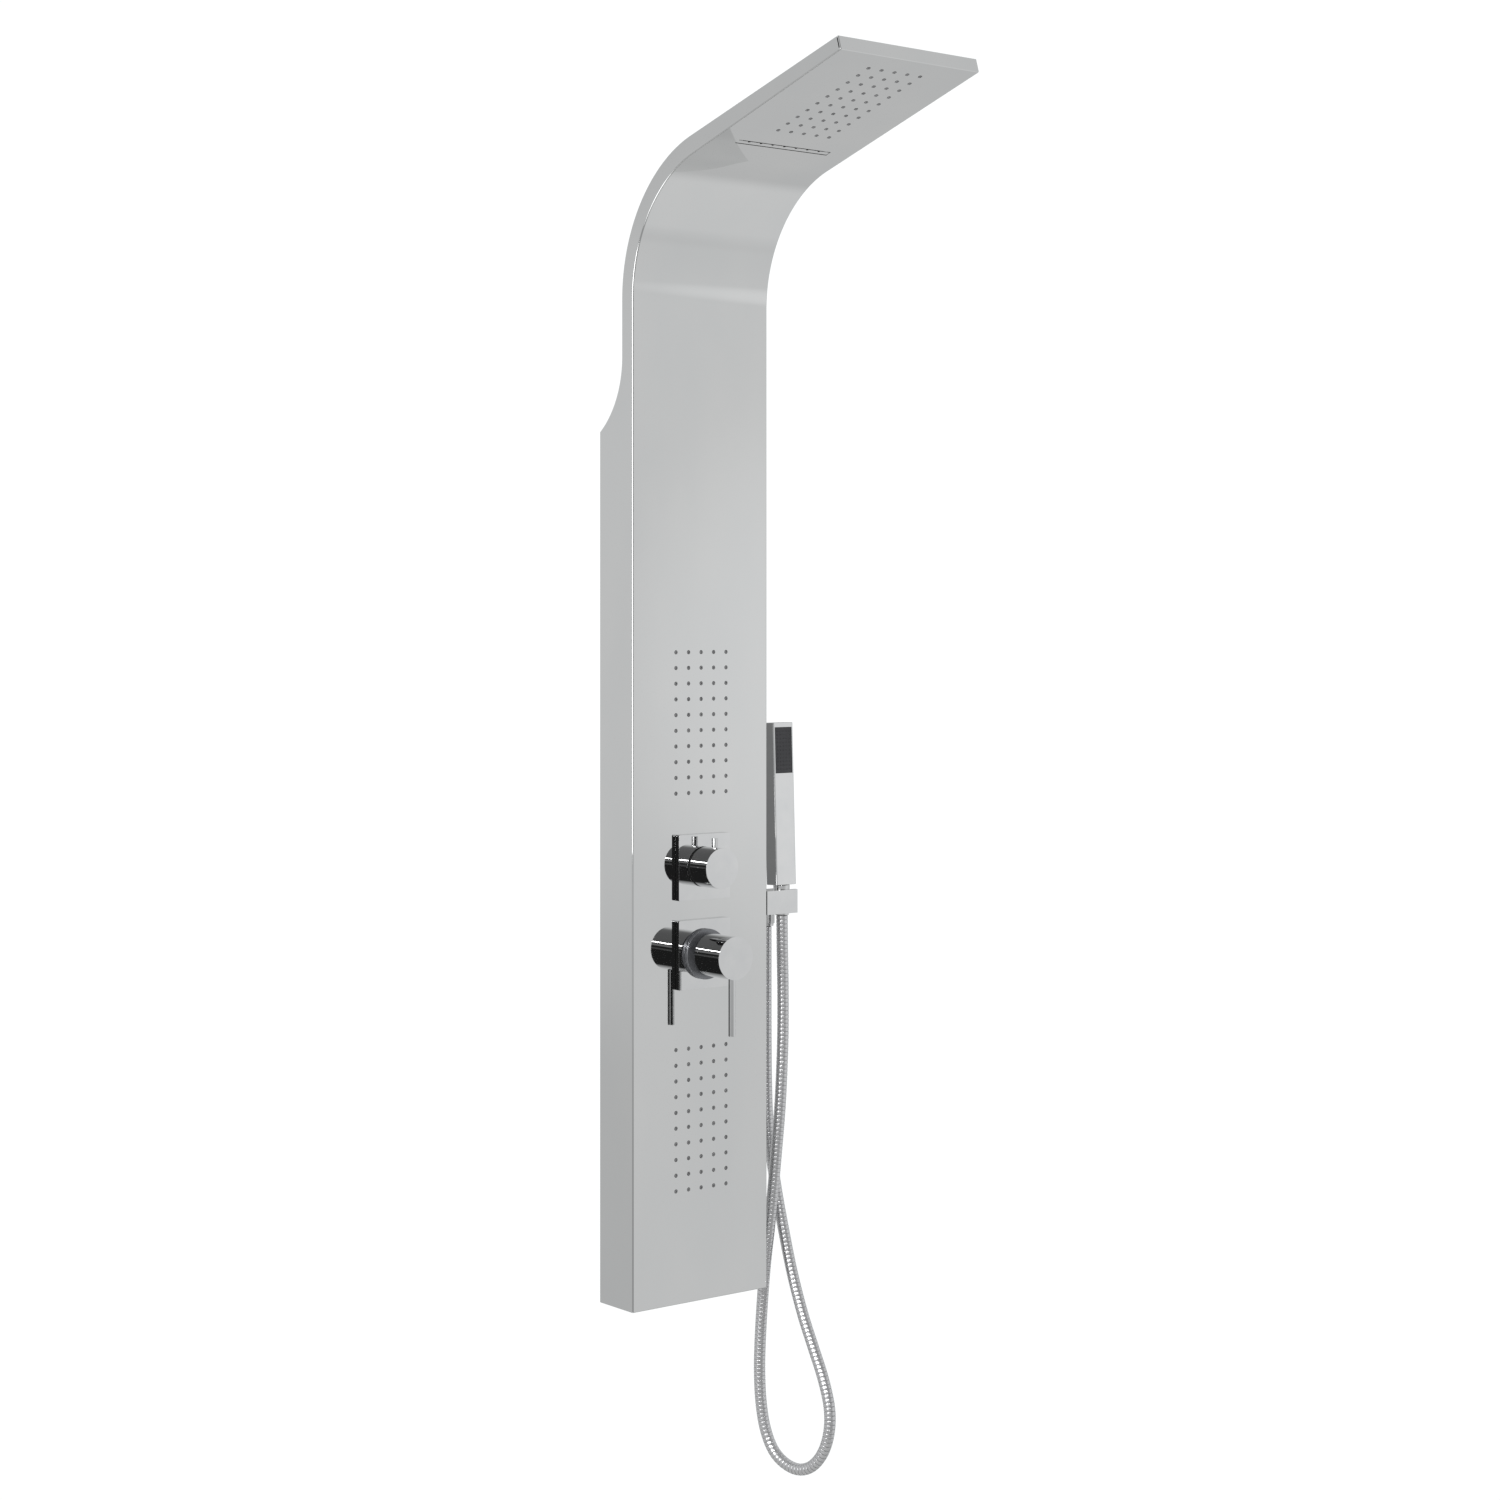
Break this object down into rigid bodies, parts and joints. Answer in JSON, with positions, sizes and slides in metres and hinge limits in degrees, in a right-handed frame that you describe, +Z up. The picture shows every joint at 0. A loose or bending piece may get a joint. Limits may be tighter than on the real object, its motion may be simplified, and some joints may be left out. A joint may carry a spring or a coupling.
{
  "type": "shower column",
  "caption": "Wall-hung steel shower column with a folded rain canopy, waterfall slit, body jets, single-lever mixer, outlet selector and a hand shower on a metal hose",
  "frame": {"origin": "centre of the upper wall bracket's back face, on the wall plane", "axes": "+Z up, +Y into the wall, -Y towards the user, +X to the user's right, where the hand shower hangs"},
  "size_m": [0.2483, 0.4361, 1.6436],
  "materials": {
    "polished_steel": "mirror-polished stainless steel sheet",
    "bracket_steel": "plain stainless steel",
    "chrome_plate": "bright chrome plate",
    "cast_brass": "as cast and turned",
    "satin_collar": "satin dark anodised",
    "rubber_gasket": "matt",
    "nozzle_silicone": "matt silicone",
    "handset_nozzle_face": "satin dark grey",
    "white_moulding": "moulded",
    "feed_hose": "extruded",
    "cartridge_plastic": "moulded"
  },
  "bodies": {
    "column": {"front_panel": "polished_steel", "canopy_cover": "polished_steel", "waterfall_nozzle_bar": "polished_steel", "upper_wall_bracket": "bracket_steel", "lower_wall_bracket": "bracket_steel", "upper_hook_rail": "bracket_steel", "lower_hook_rail": "bracket_steel", "holder_screw_1": "bracket_steel", "holder_screw_2": "bracket_steel", "mixer_plate": "chrome_plate", "diverter_plate": "chrome_plate", "handset_holder": "chrome_plate", "outlet_elbow": "chrome_plate", "outlet_hose_nut": "chrome_plate", "shower_hose": "chrome_plate", "mixer_body": "cast_brass", "mixer_body_ring_nut": "cast_brass", "diverter_body": "cast_brass", "diverter_body_ring_nut": "cast_brass", "hot_inlet": "cast_brass", "cold_inlet": "cast_brass", "link_pipe": "cast_brass", "outlet_backnut": "cast_brass", "mixer_collar": "satin_collar", "diverter_gasket": "rubber_gasket", "upper_jet_mat": "nozzle_silicone", "lower_jet_mat": "nozzle_silicone", "rain_nozzle_mat": "nozzle_silicone", "upper_jet_manifold": "white_moulding", "lower_jet_manifold": "white_moulding", "rain_chamber": "white_moulding", "waterfall_chamber": "white_moulding", "rain_hose": "feed_hose", "waterfall_hose": "feed_hose", "upper_jet_hose": "feed_hose", "lower_jet_hose": "feed_hose", "hand_outlet_hose": "feed_hose", "mixer_cartridge": "cartridge_plastic", "diverter_cartridge": "cartridge_plastic"},
    "mixer_carrier_body": {"mixer_carrier": "cartridge_plastic", "mixer_pivot_pin": "bracket_steel"},
    "mixer_handle_body": {"mixer_stem": "bracket_steel", "mixer_handle": "chrome_plate", "mixer_lever": "chrome_plate", "mixer_grub_screw": "bracket_steel"},
    "diverter_knob_body": {"diverter_spindle": "cast_brass", "diverter_knob": "chrome_plate", "diverter_grip_pin": "chrome_plate"},
    "hose_nut_body": {"handset_hose_nut": "chrome_plate"},
    "handset": {"handset_body": "chrome_plate", "handset_face": "handset_nozzle_face"}
  },
  "joints": [
    {"name": "mixer_swivel", "type": "hinge", "parent": "column", "child": "mixer_carrier_body", "pos_m": [0, -0.0853, -0.5504], "axis": [0, 1, 0], "range_deg": [-45, 45]},
    {"name": "mixer_lift", "type": "hinge", "parent": "mixer_carrier_body", "child": "mixer_handle_body", "pos_m": [0, -0.0853, -0.5504], "axis": [-1, 0, 0], "range_deg": [0, 18]},
    {"name": "diverter_turn", "type": "hinge", "parent": "column", "child": "diverter_knob_body", "pos_m": [0, -0.0853, -0.4478], "axis": [0, 1, 0], "range_deg": [-90, 180]},
    {"name": "handset_lift", "type": "slide", "parent": "column", "child": "hose_nut_body", "axis": [0, 0.0349, 0.9994], "range_m": [0, 0.06]},
    {"name": "handset_turn", "type": "hinge", "parent": "hose_nut_body", "child": "handset", "pos_m": [0.1325, -0.0528, -0.498], "axis": [0, 0.0349, 0.9994], "continuous": true}
  ]
}
